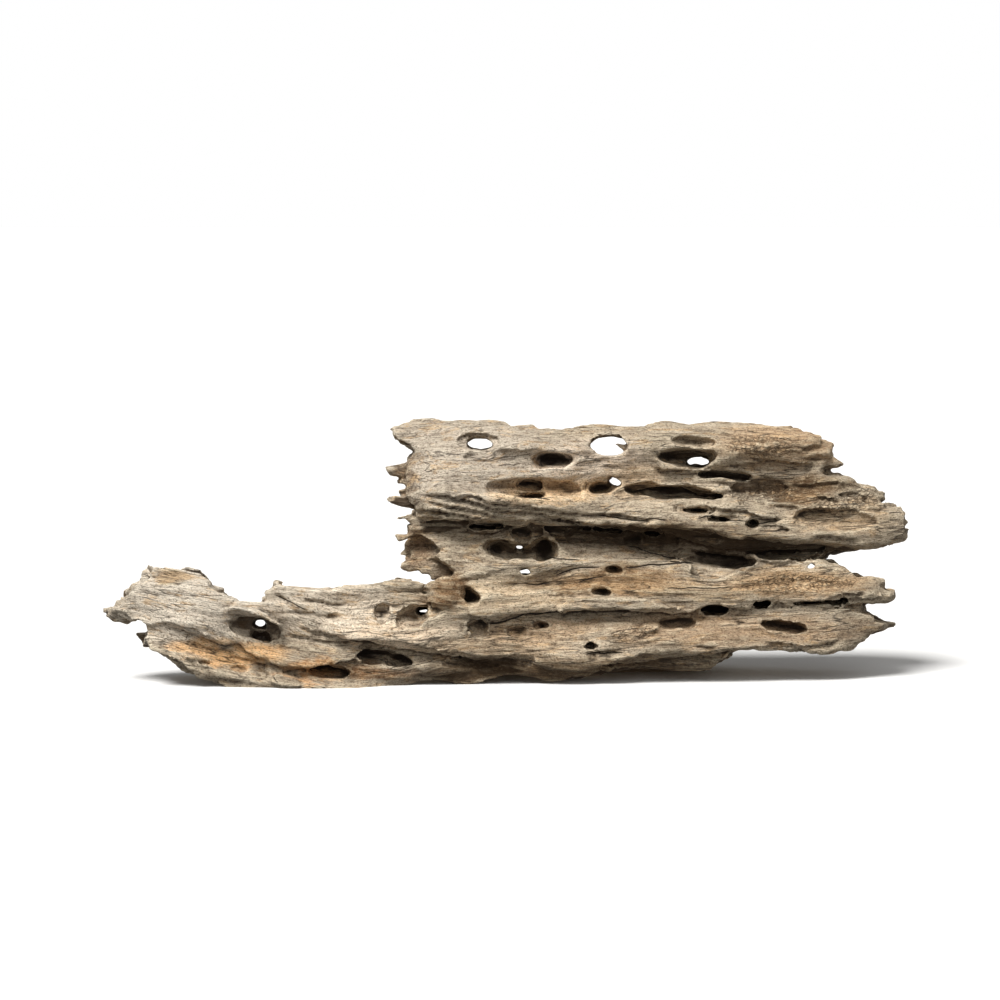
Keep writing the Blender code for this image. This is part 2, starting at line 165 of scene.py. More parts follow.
# Boards of the limb: front and back from the middle line, then the outline seen from the front.
LIMB_BOARDS = [
    (-42, 30, [(-251, 43), (-250, 49), (-241, 52), (-239, 60), (-228, 66.5), (-223, 73.5), (-211, 72),
        (-194, 69), (-180, 59), (-167, 51), (-150, 51), (-120, 50), (-95, 40), (-88, 18), (-98, 16),
        (-124, 13), (-144, 15.5), (-158, 21), (-167, 27), (-178, 26.5), (-195, 33), (-212, 37),
        (-232, 37)]),
    (-34, 34, [(-232, 37), (-228, 25), (-216, 22), (-195, 16), (-181, 10), (-170, 2), (-78, -4), (-52, 2),
        (-44, 30), (-95, 40), (-160, 34), (-212, 40)]),
    (-46, 48, [(-230, 23), (-226, 28), (-216, 25.5), (-196, 19), (-181, 12.5), (-165, 7.5), (-150, 6),
        (-130, 3), (-100, 3), (-73, -0.5), (-80, -4), (-172, -4), (-186, 4), (-202, 11)]),
    (-38, 40, [(-152, 53), (-149, 60), (-144, 65), (-134, 62), (-110, 59.5), (-78, 63), (-62, 67),
        (-52, 62), (-44, 58), (-20, 56), (-10, 30), (-40, 6), (-150, 6)]),
    (-38, 56, [(-60, 8), (-45, 1), (-20, -2), (5, 3), (22, 2), (32, -3), (44, 2), (75, 7), (110, 6.5),
        (129, 8), (142, 12), (150, 18), (140, 28), (60, 30), (-60, 24)]),
    (24, 52, [(46, -4), (124, -4), (134, 5), (130, 18), (44, 18)]),
    (-47, 46, [(-114, 35), (-100, 28), (-67, 26), (-44, 21), (-22, 17.5), (10, 16), (41, 9), (60, 9.5),
        (75, 12), (93, 16.5), (136, 17.5), (150, 20), (182, 23.5), (205, 19), (225, 22.5), (247, 37.5),
        (238, 42.6), (230, 48.4), (200, 49.4), (120, 44), (40, 45), (-20, 47), (-40, 45), (-54, 39),
        (-66, 36), (-104, 40)]),
    (-52, 44, [(-38, 50), (-22, 43.5), (-9, 40), (12, 43.5), (40, 45.5), (75, 46), (122, 43), (134, 49),
        (158, 49), (170, 52.5), (200, 52), (236, 54), (252, 53), (250, 57), (238, 58), (200, 60),
        (120, 62), (40, 60), (-30, 58)]),
    (-46, 40, [(-34, 54), (-38, 66), (-20, 74), (40, 80), (140, 82), (203, 78), (216, 72), (228, 65),
        (243, 62.5), (236, 56), (120, 54), (0, 50)]),
    (-36, 42, [(-30, 40), (100, 40), (228, 44), (234, 50), (228, 58), (-30, 56)]),
]

# Boards of the crown, from the neck up to the rim.
CROWN_BOARDS = [
    (-34, 36, [(-34, 66), (-46, 74), (-58, 80), (-57, 92), (-58, 97), (-54, 104), (20, 104), (44, 84),
        (60, 72), (0, 60), (-26, 60)]),
    (-10, 38, [(10, 90), (10, 104), (120, 104), (232, 98), (228, 86), (210, 84), (140, 80)]),
    (-19, 40, [(-20, 60), (30, 98), (112, 94), (140, 90), (226, 90), (226, 86), (209, 84), (204, 78),
        (60, 62)]),
    (-28, 40, [(-20, 60), (26, 92), (60, 90), (104, 86), (116, 70), (60, 62)]),
    (-34, 30, [(120, 100), (145, 92), (190, 88), (196, 94), (196, 104), (140, 106)]),
    (-46, 44, [(-54, 114), (-62, 119), (-40, 124), (60, 118), (150, 116), (206, 120), (246, 112.5),
        (256, 108), (258.5, 93), (248, 89.5), (232, 87), (190, 90), (150, 93), (107, 98), (75, 101),
        (20, 101), (-17, 102), (-56, 104)]),
    (-38, 42, [(-61, 119), (-60, 140), (-20, 140), (60, 136), (150, 136), (204, 135), (206, 131),
        (224, 126), (238, 124), (246, 113), (150, 112), (60, 114), (-40, 116)]),
    (-37, 36, [(-62, 132), (-60, 142), (-54, 149), (0, 154), (180, 156), (203, 154), (210, 147),
        (209, 141), (204, 134), (60, 128), (-40, 126)]),
    (-38, 30, [(-56, 150), (-67, 156), (-69, 161.5), (-57, 166), (-42, 167), (-20, 166), (0, 163),
        (40, 161), (62, 163), (85, 162.5), (103, 164.5), (134, 166.5), (160, 165), (184, 162.5),
        (200, 156), (200, 148), (120, 148), (0, 146)]),
]

# Splinters: root x and z, tip x and z, depth from the middle line, root radius.
SPLINTERS = [
    (-236, 44, -254, 46, -8, 6), (-232, 60, -243, 52, 0, 6), (-216, 66, -226, 75.5, -22, 5),
    (-224, 27, -234, 32, 0, 6), (-232, 50, -244, 56, -4, 5), (-56, 160, -71, 161.5, -8, 6),
    (190, 145, 216, 143.5, 0, 5), (188, 152, 212, 149, -8, 5), (226, 38, 252, 37.4, -22, 5.5),
    (200, 80, 214, 75, -14, 5), (240, 97, 262, 98, -6, 6),
]

# Flakes: thin torn layers, given as the boards are.
FLAKES = [
    (-12, 4, [(-40, 145), (-58, 142.5), (-61, 139.5), (-66.5, 138.2), (-74, 137), (-69, 132.5),
        (-62.5, 132), (-61, 130.3), (-67, 128.6), (-62, 126.5), (-60, 124.5), (-66, 123), (-62, 119.8),
        (-40, 118)]),
    (-26, -16, [(-30, 141), (-50, 140), (-61, 137.5), (-52, 136.2), (-30, 135)]),
    (-30, -22, [(-30, 133), (-46, 131.5), (-57, 129), (-46, 128.4), (-30, 128)]),
    (-28, -18, [(-30, 127), (-48, 125.5), (-62, 122.6), (-50, 121.6), (-30, 121)]),
    (-22, -10, [(-40, 122), (-58, 119.5), (-64, 118.3), (-74, 116.2), (-62, 114.6), (-52, 114),
        (-40, 112)]),
    (-34, -20, [(-36, 114), (-55, 112), (-58.5, 108), (-67, 104.8), (-57, 103.2), (-36, 101)]),
    (-30, -18, [(-36, 101), (-55, 99.5), (-60, 96.3), (-68.5, 95.3), (-65, 90.5), (-60, 91.5),
        (-48, 94)]),
    (-12, 2, [(-36, 98), (-58, 93), (-61.5, 87), (-60, 84), (-66, 81.3), (-58, 80), (-36, 78)]),
    (-24, -12, [(-34, 84), (-52, 82), (-64, 75), (-58.5, 71), (-50.5, 73.2), (-51, 70), (-45, 70),
        (-44.5, 65.5), (-40.5, 67.5), (-34, 64), (-24, 74)]),
    (-26, -20, [(88, 158), (84, 154), (79, 152), (71, 153), (77, 149.5), (83, 146), (90, 148)]),
    (-44, -30, [(212, 69.5), (228, 67), (246, 66), (243, 62.8), (238, 59.5), (212, 57)]),
    (-44, -28, [(222, 59.5), (238, 58.8), (249, 58.8), (251.5, 57), (249.5, 53.6), (238, 50), (222, 50)]),
    (-34, -14, [(192, 147), (207, 145.4), (214, 142.6), (220, 139.2), (214, 136.8), (192, 136)]),
    (-54.5, -44, [(36.5, 44.4), (40, 46.6), (50, 46.2), (64, 47.6), (80, 47.2), (100, 46.4), (116, 47.2),
        (98, 51), (66, 54), (42, 54), (39, 49.5)]),
    (-45, -16, [(224, 91), (247, 90.4), (257.6, 93.4), (257.2, 107.5), (247, 112), (224, 113)]),
    (-53, -40, [(-175, 46), (-173, 48.6), (-165, 48), (-156, 46), (-149, 42.6), (-140, 37), (-141, 35.8),
        (-150, 40.6), (-157, 43), (-165, 44.6), (-173, 45)]),
]

# Bosses: rounded lumps that stand out, as the centre and the half size along, deep and high.
BOSSES = [(-35, -40, 57, 12.5, 15, 11), (-36, -32.5, 11.4, 22, 13, 6), (96, -42, 35, 9, 8, 4)]

# Windows: through holes, with the centre, half length, half height and slant in degrees.
WINDOWS = [
    (-13.3, 152.4, 7.2, 2.3, 0), (69, 151.4, 10.6, 5.6, 0), (126, 141, 6.6, 2.4, 0),
    (73, 128.5, 4.4, 2.2, -40), (-153.8, 38, 3.6, 2.2, -10), (-49.6, 46.3, 3.4, 1.3, 15),
    (14.6, 71.7, 4.2, 1.6, 0), (198, 74.3, 3, 2, 0), (11.7, 86.8, 2.4, 1.6, 0),
]

# Hollows in the front: the same, with the depth reached.
HOLLOWS = [
    (-14, 153.3, 13.5, 5.4, 9, 0), (33.5, 142.6, 13, 4.9, 24, 0), (9, 142.6, 33, 6.4, 4.5, -1),
    (22, 124, 31, 6.2, 7, -2), (-55.5, 41.6, 9.8, 7.4, 11, 8), (-76.8, 44, 4.6, 5, 7, 0),
    (-14, 36, 6, 4.2, 7, -8), (10, 33.8, 6.5, 2.4, 6, 0), (112, 38, 12.5, 3.6, 6, -3),
    (137, 71.6, 14.5, 4.2, 10, 0), (119, 144, 18.5, 4.8, 26, 0), (122.5, 153.8, 14.5, 3.2, 11, -4),
    (143, 132.5, 18, 2.8, 18, -4), (18, 126.2, 9.5, 2.6, 24, 0), (21.5, 118.8, 9, 1.8, 22, 0),
    (64.3, 124.6, 7.8, 4.6, 22, 0), (110, 122, 32, 3.4, 22, -4), (123.5, 110, 9.5, 2.5, 16, 0),
    (142, 104.4, 13, 1.4, 12, -5), (160.5, 101.5, 4, 3.2, 14, 0), (13.5, 94.8, 6.6, 4.2, 14, 0),
    (-1, 85.6, 10, 5.2, 24, -8), (26.5, 84.5, 9.5, 7.6, 26, 0), (12, 83.6, 15, 5, 25, 0),
    (139, 79.5, 26, 6.4, 34, -6), (182, 83.6, 26, 1.9, 20, 3), (-61, 131, 15, 10, 15, 4),
    (-62, 107, 12, 3.6, 14, 0), (-56, 88, 17, 5.6, 22, -10), (-44, 73.5, 15, 6.4, 17, -20),
    (-10, 99.8, 13, 2, 16, 2), (72.5, 72, 5.6, 2.3, 18, 0), (63.8, 58.7, 6.6, 2.2, 14, -8),
    (-157.6, 35.4, 17.2, 6.4, 13, -9), (-154, 30.8, 6.8, 2.4, 30, 0), (-111, 9.4, 13.5, 3.2, 22, -2),
    (-80, 18.5, 13, 3.4, 20, 0), (-66, 15, 10, 3.6, 18, -8), (-20, 56, 7.4, 5.2, 22, -40),
    (25.8, 37, 4.6, 2, 14, -15), (136, 47, 12, 3.2, 18, 4), (167, 50.8, 8.6, 2.6, 16, 0),
    (180.5, 36.4, 14.8, 2.7, 20, -6), (57.2, 24.3, 3.4, 1.5, 12, 0), (204, 51.6, 24, 1.7, 22, 4),
    (157, 19, 9, 2.6, 16, 0), (-232, 34, 6, 7, 60, 0),
]

# Hollows in the back, which the front doesn't show.
BACK_HOLLOWS = [
    (-20, 130, 20, 6, 22, 4), (60, 112, 26, 6, 24, -3), (130, 128, 20, 8, 22, 4),
    (190, 106, 16, 4, 18, 0), (20, 84, 22, 7, 26, 0), (110, 80, 26, 6, 24, 4), (60, 50, 16, 6, 22, 0),
    (-20, 40, 14, 5, 18, -6), (140, 40, 24, 6, 24, 2), (200, 56, 12, 4, 16, 0), (-120, 38, 14, 6, 22, 8),
    (-190, 48, 14, 6, 16, 20),
]

# Pans worn into the front, and one knob left standing (a depth below nought): centre, half length, reach
# above and below it, depth and slant in degrees.
PANS = [
    (64, 125, 11, 5, 6, 5, 0), (214, 103.5, 27, 7.5, 7, 8, -4), (-206, 69, 15, 5, 6, 5, -16),
    (-168, 10, 5, 3, 3, 3, 0), (-8, 15, 30, 4, 6, 5, 0), (30, 94, 16, 5, 6, 5, 0),
    (66, 93, 24, 8, 8, 7, 0), (96, 90, 18, 7, 7, 8, 0), (6, 57.9, 6.4, 2, 2, 3, 0),
    (200, 149, 8, 3, 2, 4, 0), (202, 143.5, 8, 2, 2, 4, 0), (-105, 41.7, 7, 2.6, 2.6, 3, -10),
    (123, 110, 14, 4.4, 4, 4, 0), (-130, 9, 10, 3, 5, 3, 0), (-138, 3.8, 10, 4.5, 4.5, -6, -10),
    (165, 124, 19, 6.5, 6.5, 5, 0), (-45, 107, 12, 3, 4, 4, 0),
]

# Edges of the front's layers: how far each stands proud, the height of the gap below, and its run.
EDGES = [
    (3, 3, [(-214, 37.5), (-203, 35), (-194, 32.5), (-178, 26.2), (-167, 27), (-158, 20.6), (-144, 15),
        (-124, 12.5), (-98, 16), (-88, 17)]),
    (2, 1.4, [(-206, 31), (-196, 27), (-186, 23), (-176, 21)]),
    (2, 1.4, [(-176, 20), (-160, 15.5), (-146, 11.5)]),
    (3, 1.6, [(-224, 24.8), (-208, 21.5), (-194.5, 17.8), (-181, 12)]),
    (3, 1.6, [(-186, 8.5), (-174, 5), (-162, 2.4)]),
    (4, 1.6, [(-173, 46), (-160, 43.6), (-148, 39.6), (-140, 35.4)]),
    (2.5, 1.4, [(-148, 60), (-141, 56.5), (-133, 51), (-123, 43)]),
    (2.2, 1.2, [(-139, 34), (-130, 31), (-112, 27.5), (-98, 26.5)]),
    (2.2, 1.2, [(-131, 38), (-118, 34), (-108, 31.8), (-97, 31)]),
    (1.8, 1.2, [(-128, 54), (-112, 51), (-98, 50)]),
    (5.5, 3, [(-106, 28.5), (-98, 27.2), (-67, 25.9), (-44, 21), (-23, 17.5), (-4, 17.5), (12, 19)]),
    (3.5, 1.6, [(-20, 14), (-8, 13), (4, 10.6), (16, 9.6)]), (3, 2, [(-58, 9), (-44, 7), (-28, 6.6)]),
    (3.6, 2.2, [(-24, 49), (-18, 43.5), (-10, 38.9), (-2, 38.9), (6.6, 42.4), (24, 44.9), (37.5, 46.3),
        (40, 43.4), (50, 44.9), (63, 46), (81, 45.8), (100, 44.2), (110, 42.8), (121, 42.9), (126, 47),
        (132, 50), (141, 50), (148, 48.2), (158, 48.2), (163, 52), (173, 52.6), (177, 50.9), (200, 52.8),
        (236, 58.8)]),
    (3, 1.4, [(54, 20.5), (66, 20.8), (76, 21)]),
    (4, 2.5, [(60, 9), (70, 11), (84, 14.5), (97, 17.2), (117, 17.8), (136, 19), (151, 21.4)]),
    (2.5, 1.2, [(121.7, 25.5), (131, 25), (141, 23.7)]),
    (3, 1.6, [(167, 27.3), (176.4, 26.1), (188, 24.4), (203.8, 24), (219, 28.5)]),
    (3.6, 1.8, [(-52, 121), (-45, 120.6), (-33, 119.6), (-22, 116.8), (-12, 113.2), (0, 110.8),
        (12, 108.5), (24, 107.3), (48, 103.7)]),
    (2.8, 1.5, [(-30, 120.5), (-15, 118.6), (-4, 114.5), (8, 112.5), (25, 110.8), (48, 108.4), (75, 106),
        (100, 104.5)]),
    (2.8, 1.5, [(-50, 116), (-40, 114.5), (-30, 112), (-10, 108.6), (2, 106)]),
    (2.8, 1.5, [(-48, 109.5), (-32, 108), (-18, 104.6), (-4, 103.6)]),
    (6.5, 4.5, [(-53, 104.5), (-30, 103), (-19.5, 102.5), (-5, 101.3), (11.7, 101.3), (29.7, 104.3),
        (47.7, 102.5), (65.8, 100.1), (88, 97.5), (108.6, 97.6)]),
    (5, 3.5, [(106, 97.6), (112.2, 94), (127.8, 89.2), (142.3, 85.5), (150, 86.5)]),
    (4, 2.2, [(142, 86.8), (160, 87.5), (176, 88), (192, 87)]),
    (4.5, 2.4, [(118, 86), (128, 84.5), (142.3, 82.5), (160.3, 80.8), (176, 82), (190.4, 83.4),
        (206, 82)]),
    (3, 2, [(195, 94), (207, 95), (218, 92.5), (230, 90.4)]),
    (3.5, 2.5, [(96, 138), (112, 136.8), (126, 136), (140, 137.3), (156, 140), (172, 142.4), (192, 140),
        (202, 138)]),
    (3, 1.6, [(126, 113), (133, 113), (144, 111), (156, 109.6), (166, 104.8), (181, 104.6)]),
    (3, 1.8, [(184, 127), (200, 127.5), (214, 128), (226, 125)]),
    (3, 1.8, [(196, 121), (212, 119), (226, 121), (238, 118)]),
    (4, 3, [(80, 123), (88, 124.7), (101.4, 127), (114.6, 125.3), (124, 121.7), (136, 121), (145, 120)]),
    (2.5, 1.2, [(163, 101), (175, 100.5), (188, 98)]),
    (3, 2, [(186, 109.5), (194, 110.5), (210, 112), (226, 110.5)]),
    (2.5, 1.4, [(196, 120), (222, 117), (244, 111)]), (2.2, 1.2, [(150, 118), (180, 113), (195, 112)]),
]

# Drying cracks in the front, and one painted shadow line under the long lip that is carved as a shallow
# crack: width, depth, and the run from left to right.
CRACKS_AND_SHADOW_LINE = [
    (1.0, 5, [(14, 63), (33, 63.5)]), (1.2, 7, [(34, 68.5), (47, 73), (65, 74)]),
    (1.3, 8, [(79, 73), (92, 74.5), (97, 75.5), (125, 77.5)]), (0.9, 4, [(48, 64), (68, 69)]),
    (1.4, 9, [(125, 104), (135, 106), (150, 103), (158, 103)]),
    (1.0, 5, [(161, 101), (170, 103), (182, 105)]), (1.3, 8, [(164, 97), (186, 98)]),
    (0.7, 2, [(105, 60), (130, 60.5), (150, 61)]), (1.3, 8, [(8, 119.5), (22, 118.5), (33, 116.5)]),
    (1.0, 6, [(53, 19.5), (66, 20), (80, 20.5)]), (1.0, 5, [(148, 40), (158, 38.5)]),
    (0.8, 2, [(-146, 57), (-133, 51), (-122, 43.5)]), (1.0, 5, [(-148, 8), (-141, 3)]),
    (1.2, 6, [(-22, 100), (-5, 99), (6, 98.5)]), (0.9, 4, [(60, 107), (85, 104), (108, 104)]),
    # A painted shadow line under the long lip over the limb, carved as a shallow crack.
    (1.4, 2, [(-10, 38.2), (-3, 38.4), (6, 41.4), (14, 43.2), (37, 45)]),
    (0.9, 4, [(80, 88), (100, 82), (118, 78)]), (0.9, 4, [(30, 80), (52, 78)]),
]

# Torn ends, where the layers stand apart: centre, half length and half height.
TORN = [
    (-58, 130, 26, 14), (-60, 104, 18, 12), (-56, 86, 20, 14), (-246, 50, 10, 16), (226, 62, 24, 20),
    (236, 112, 22, 14), (206, 146, 14, 12), (-50, 70, 16, 8),
]

# Corky patches, cracked across: centre, half length and half height.
CORKY = [(166, 151, 30, 10), (190, 63, 40, 9), (224, 116, 22, 8), (166, 121, 26, 8), (92, 34, 10, 5)]


def smooth_step(values):
    held = np.clip(values, 0.0, 1.0)
    return held * held * (3.0 - 2.0 * held)


def add_to_scene(name, data):
    item = bpy.data.objects.new(name, data)
    bpy.context.scene.collection.objects.link(item)
    return item


def add_board(shape, front, back, outline):
    """One layer of wood: its outline seen from the front, drawn back to its full depth."""
    corners = [shape.verts.new((x, front, z)) for x, z in outline]
    face = shape.faces.new(corners)
    grown = bmesh.ops.extrude_face_region(shape, geom=[face])["geom"]
    far = [item for item in grown if isinstance(item, bmesh.types.BMVert)]
    bmesh.ops.translate(shape, verts=far, vec=(0.0, back - front, 0.0))


def add_splinter(shape, root_x, root_z, tip_x, tip_z, depth, radius):
    """A tapering splinter from its root to its tip."""
    root = Vector((root_x, depth, root_z))
    tip = Vector((tip_x, depth, tip_z))
    along = tip - root
    turn = along.to_track_quat("Z", "Y").to_matrix().to_4x4()
    place = Matrix.Translation((root + tip) / 2) @ turn
    bmesh.ops.create_cone(shape, cap_ends=True, segments=10, radius1=radius, radius2=SPLINTER_TIP,
                          depth=along.length, matrix=place)


def add_ball(shape, middle, halves, slant=0.0):
    """An egg shape, with its half sizes along, deep and high."""
    turn = Matrix.Rotation(math.radians(-slant), 4, "Y")
    place = Matrix.Translation(middle) @ turn @ Matrix.Diagonal((*halves, 1.0))
    bmesh.ops.create_uvsphere(shape, u_segments=24, v_segments=12, radius=1.0, matrix=place)


def add_window(shape, x, z, half_long, half_high, slant):
    """A hole right through the piece, wider at its back."""
    turn = Matrix.Rotation(math.radians(-slant), 4, "Y")
    size = Matrix.Diagonal((half_long, 1.0, half_high, 1.0))
    lay = Matrix.Rotation(math.pi / 2, 4, "X")
    place = Matrix.Translation((x, 0.0, z)) @ turn @ size @ lay
    at_back, at_front = WINDOW_FLARE
    bmesh.ops.create_cone(shape, cap_ends=True, segments=32, radius1=at_back, radius2=at_front,
                          depth=WINDOW_DEPTH, matrix=place)


def new_object(name, shape):
    bmesh.ops.recalc_face_normals(shape, faces=shape.faces[:])
    mesh = bpy.data.meshes.new(name)
    shape.to_mesh(mesh)
    shape.free()
    return add_to_scene(name, mesh)


def modified_mesh(item):
    """A mesh with the object's modifiers applied. None stays on the object."""
    graph = bpy.context.evaluated_depsgraph_get()
    mesh = bpy.data.meshes.new_from_object(item.evaluated_get(graph))
    item.modifiers.clear()
    return mesh


def settle(item):
    item.data = modified_mesh(item)
    return item


def soften(item, rounds):
    worn = item.modifiers.new("Worn", "SMOOTH")
    worn.factor = 0.5
    worn.iterations = rounds


def fuse(item, step, rounds):
    """Melts overlapping shapes into one skin of small even faces."""
    grain = item.modifiers.new("Grain", "REMESH")
    grain.mode = "VOXEL"
    grain.voxel_size = step
    if rounds:
        soften(item, rounds)
    return settle(item)


def join(item, other, operation):
    """Cuts an object by another, which is used up."""
    cut = item.modifiers.new(operation.title(), "BOOLEAN")
    cut.solver = "MANIFOLD"
    cut.operation = operation
    cut.object = other
    settle(item)
    bpy.data.objects.remove(other, do_unlink=True)


def face_at(x, z, side):
    """How far the boards reach in front (side -1) or behind (side 1) at a place."""
    reach = 0.0
    for front, back, outline in LIMB_BOARDS + CROWN_BOARDS:
        if inside(x, z, outline):
            edge = front if side < 0 else back
            reach = edge if edge * side > reach * side else reach
    return reach


def inside(x, z, outline):
    crossed = False
    for (x1, z1), (x2, z2) in zip(outline, outline[1:] + outline[:1]):
        if (z1 > z) != (z2 > z) and x < x1 + (z - z1) * (x2 - x1) / (z2 - z1):
            crossed = not crossed
    return crossed


def laid_up_wood():
    shape = bmesh.new()
    for front, back, outline in LIMB_BOARDS + CROWN_BOARDS:
        add_board(shape, front, back, outline)
    return fuse(new_object("wood", shape), BOARD_STEP, rounds=4)


def hollow_space():
    """All hollows and windows as one shape."""
    shape = bmesh.new()
    for hollows, side in ((HOLLOWS, -1), (BACK_HOLLOWS, 1)):
        for x, z, half_long, half_high, reach, slant in hollows:
            add_ball(shape, (x, face_at(x, z, side), z), (half_long, reach, half_high), slant)
    for window in WINDOWS:
        add_window(shape, *window)
    hollows = fuse(new_object("hollows", shape), BOARD_STEP / 2, rounds=0)
    points = points_of(hollows.data)
    along, upwards = HOLLOW_BEND
    points += np.stack([along * wave(points, 16, 20, 11, 15), np.zeros(len(points)),
                        upwards * wave(points, 18, 20, 10, 16)], axis=1)
    put_points(hollows.data, points)
    return hollows


def add_splinters(item):
    """Adds the splinters, the torn flakes and the bosses."""
    shape = bmesh.new()
    shape.from_mesh(item.data)
    for splinter in SPLINTERS:
        add_splinter(shape, *splinter)
    for flake in FLAKES:
        add_board(shape, *flake)
    for boss in BOSSES:
        add_ball(shape, boss[:3], boss[3:])
    bmesh.ops.recalc_face_normals(shape, faces=shape.faces[:])
    shape.to_mesh(item.data)
    shape.free()


def read_rows(items, key, width=3):
    """One stored value of every item, as rows of numbers."""
    flat = np.empty(len(items) * width, np.float32)
    items.foreach_get(key, flat)
    return flat.reshape(-1, width).astype(float)


def points_of(mesh):
    return read_rows(mesh.vertices, "co")


def normals_of(mesh):
    return read_rows(mesh.vertex_normals, "vector")


def put_points(mesh, points):
    mesh.vertices.foreach_set("co", points.astype(np.float32).ravel())
    mesh.update()


def push_out(mesh, push):
    """Moves every point outwards by its own share."""
    put_points(mesh, points_of(mesh) + normals_of(mesh) * push[:, None])


def wave(points, long, deep, high, seed):
    """Smooth noise from -1 to 1, drawn out along the grain."""
    places = points / (long, deep, high) + seed * 17.3
    return np.array([noise.noise(Vector(place)) for place in places]) * 1.6


def saw(layer, rise):
    """1 just above each layer's edge, falling to 0 up the layer, and rising again over its last share."""
    share = layer - np.floor(layer)
    return np.where(share < 1.0 - rise, 1.0 - share / (1.0 - rise), smooth_step((share - 1.0 + rise) / rise))


def within(ovals, points):
    """1 in the middle of any of the ovals, falling to 0 at their rims."""
    share = np.zeros(len(points))
    for middle_x, middle_z, half_long, half_high in ovals:
        reach = ((points[:, 0] - middle_x) / half_long) ** 2 + ((points[:, 2] - middle_z) / half_high) ** 2
        share = np.maximum(share, 1.0 - smooth_step(reach))
    return share


def widened(ovals, share):
    """The middles of the ovals, with their half sizes times a share."""
    return [(oval[0], oval[1], share * oval[2], share * oval[3]) for oval in ovals]


def weather(item):
    """Wears the piece: broad lumps, then ledges that swell downwards and break off in an undercut."""
    mesh = item.data
    points = points_of(mesh)
    across = points[:, 2] - np.interp(points[:, 0], GRAIN_X, GRAIN_Z)
    bend = wave(points, 80, 60, 40, 1)
    lumps = wave(points, 60, 40, 22, 2)
    strength = np.clip(wave(points, 60, 50, 26, 3) + 0.55, 0.0, 1.2)
    ledge = saw(across / LEDGE_HEIGHT + 1.1 * bend, 0.15)
    normals = normals_of(mesh)
    strength *= 1.0 - 0.75 * smooth_step(-2.0 * normals[:, 1])
    clear = widened(WINDOWS, 2.2) + widened(HOLLOWS, 1.4)
    near = smooth_step(2.0 * within(clear, points))
    strength *= 1.0 - near
    lumps *= 1.0 - 0.7 * near
    push_out(mesh, LUMP * lumps + LEDGE * strength * (ledge - 0.5) - WEAR)


def grain_height(points):
    """The grain's own height at each point: it follows the run of the wood and closes in on every hollow."""
    x, _, z = points.T
    across = z - np.interp(x, GRAIN_X, GRAIN_Z) + 4.0 * wave(points, 100, 80, 50, 22)
    for hollow_x, hollow_z, half_long, half_high, _, _ in HOLLOWS:
        off = z - hollow_z
        near = ((x - hollow_x) / (1.5 * half_long)) ** 2 + (off / (2.2 * half_high)) ** 2
        across -= 0.35 * off * np.exp(-near)
    return across


def turned(x, z, middle_x, middle_z, slant):
    """A place as seen from the middle of a slanted oval: along it and up from it."""
    turn = math.radians(-slant)
    along = (x - middle_x) * math.cos(turn) - (z - middle_z) * math.sin(turn)
    return along, (x - middle_x) * math.sin(turn) + (z - middle_z) * math.cos(turn)


def follow(x, line, fade):
    """The height of a line drawn on the front, and its strength, which fades towards its ends."""
    line_x, line_z = np.array(line, float).T
    ends = smooth_step((x - line_x[0]) / fade) * smooth_step((line_x[-1] - x) / fade)
    return np.interp(x, line_x, line_z), ends


def carve_edge(x, z, proud, height, line):
    """How one layer's edge moves the front: outwards above its lip, inwards under it, and how it hangs."""
    edge, ends = follow(x, line, EDGE_FADE)
    above = z - edge
    over = smooth_step(above / LIP + 0.5)
    higher, lower = np.maximum(above, 0.0), np.minimum(above, 0.0)
    outward = LIP_SHARE * proud * np.exp(-higher / (5.0 + 1.5 * proud))
    gouged = GOUGE_DEPTH * proud * np.exp(lower / (2.0 * height))
    drop = (1.0 - over) * np.exp(lower / OVERHANG_REACH) - over * np.exp(-higher / OVERHANG_REACH)
    hang = OVERHANG * min(proud / FULL_OVERHANG, 1.0)
    return ends * (gouged * (1.0 - over) - outward * over), ends * hang * drop


def carve(item):
    """Carves the front's pans, layer edges and cracks."""
    mesh = item.data
    points = points_of(mesh)
    facing = smooth_step(-2.2 * normals_of(mesh)[:, 1]) * (points[:, 1] < 0)
    x, _, z = points.T
    ragged = z + 1.1 * wave(points, 26, 9, 30, 7) + 0.3 * wave(points, 8, 9, 30, 21)
    inward = np.zeros(len(x))
    drop = np.zeros(len(x))
    for middle_x, middle_z, half_long, above, below, depth, slant in PANS:
        along, up = turned(x, ragged, middle_x, middle_z, slant)
        reach = (along / half_long) ** 2 + (up / np.where(up > 0, above, below)) ** 2
        sides = PAN_DROP + PAN_SLOPE * smooth_step(-up / below)
        inward += depth * np.clip(1.0 - reach, 0.0, 1.0) ** sides
    for proud, height, line in EDGES:
        pushed, hung = carve_edge(x, ragged, proud, height, line)
        inward += pushed
        drop += hung
    for width, depth, line in CRACKS_AND_SHADOW_LINE:
        crack, ends = follow(x, line, CRACK_FADE)
        inward += ends * CRACK_SHARE * depth * np.exp(-(((ragged - crack) / (width + 0.7)) ** 2))
    points[:, 1] += facing * inward
    points[:, 2] += facing * drop
    put_points(mesh, points)


def crease(points, long, deep, high, seed, width):
    """1 along thin winding lines that run with the grain."""
    return np.clip(1.0 - np.abs(wave(points, long, deep, high, seed)) / width, 0.0, 1.0)


